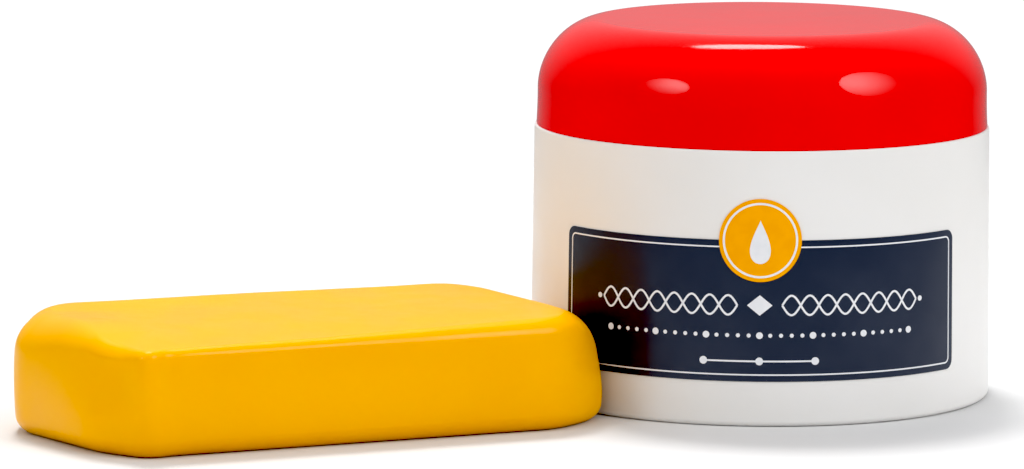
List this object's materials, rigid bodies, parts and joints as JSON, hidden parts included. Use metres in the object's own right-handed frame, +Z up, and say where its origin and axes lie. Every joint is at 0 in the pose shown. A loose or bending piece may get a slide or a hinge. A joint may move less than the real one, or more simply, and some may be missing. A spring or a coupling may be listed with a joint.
{
  "type": "clay bar with storage jar",
  "caption": "Kneadable detailing clay bar lying beside its double-walled storage jar, whose domed lid unscrews and rises on a helical thread over a loose sealing disc.",
  "frame": {"origin": "centre of the jar's base, on the surface that it stands on", "axes": "+Z up along the jar's axis, label facing -Y, and the bar lying towards -X and -Y of the jar"},
  "size_m": [0.1998, 0.1429, 0.0787],
  "materials": {
    "jar_plastic": "satin",
    "cup_plastic": "satin",
    "label_film": "satin",
    "lid_plastic": "gloss",
    "insert_plastic": "satin",
    "liner_foam": "matte",
    "clay": "satin"
  },
  "bodies": {
    "jar": {"outer_jar": "jar_plastic", "inner_cup": "cup_plastic", "front_label": "label_film"},
    "liner": {"lid_liner": "liner_foam"},
    "lid": {"lid_shell": "lid_plastic", "lid_insert": "insert_plastic"},
    "clay_bar": {"clay_bar": "clay"}
  },
  "joints": [
    {"name": "lid_rise", "type": "slide", "parent": "jar", "child": "liner", "axis": [0, 0, 1], "range_m": [0, 0.01525]},
    {"name": "lid_turn", "type": "hinge", "parent": "liner", "child": "lid", "pos_m": [0, 0, 0.0624], "axis": [0, 0, 1], "range_deg": [0, 1080]},
    {"name": "bar_lift", "type": "slide", "parent": "jar", "child": "clay_bar", "axis": [0, 0, 1], "range_m": [0, 0.06]}
  ],
  "couplings": [
    {"joint": "lid_rise", "follows": "lid_turn", "m_per_rad": 0.00080851}
  ]
}
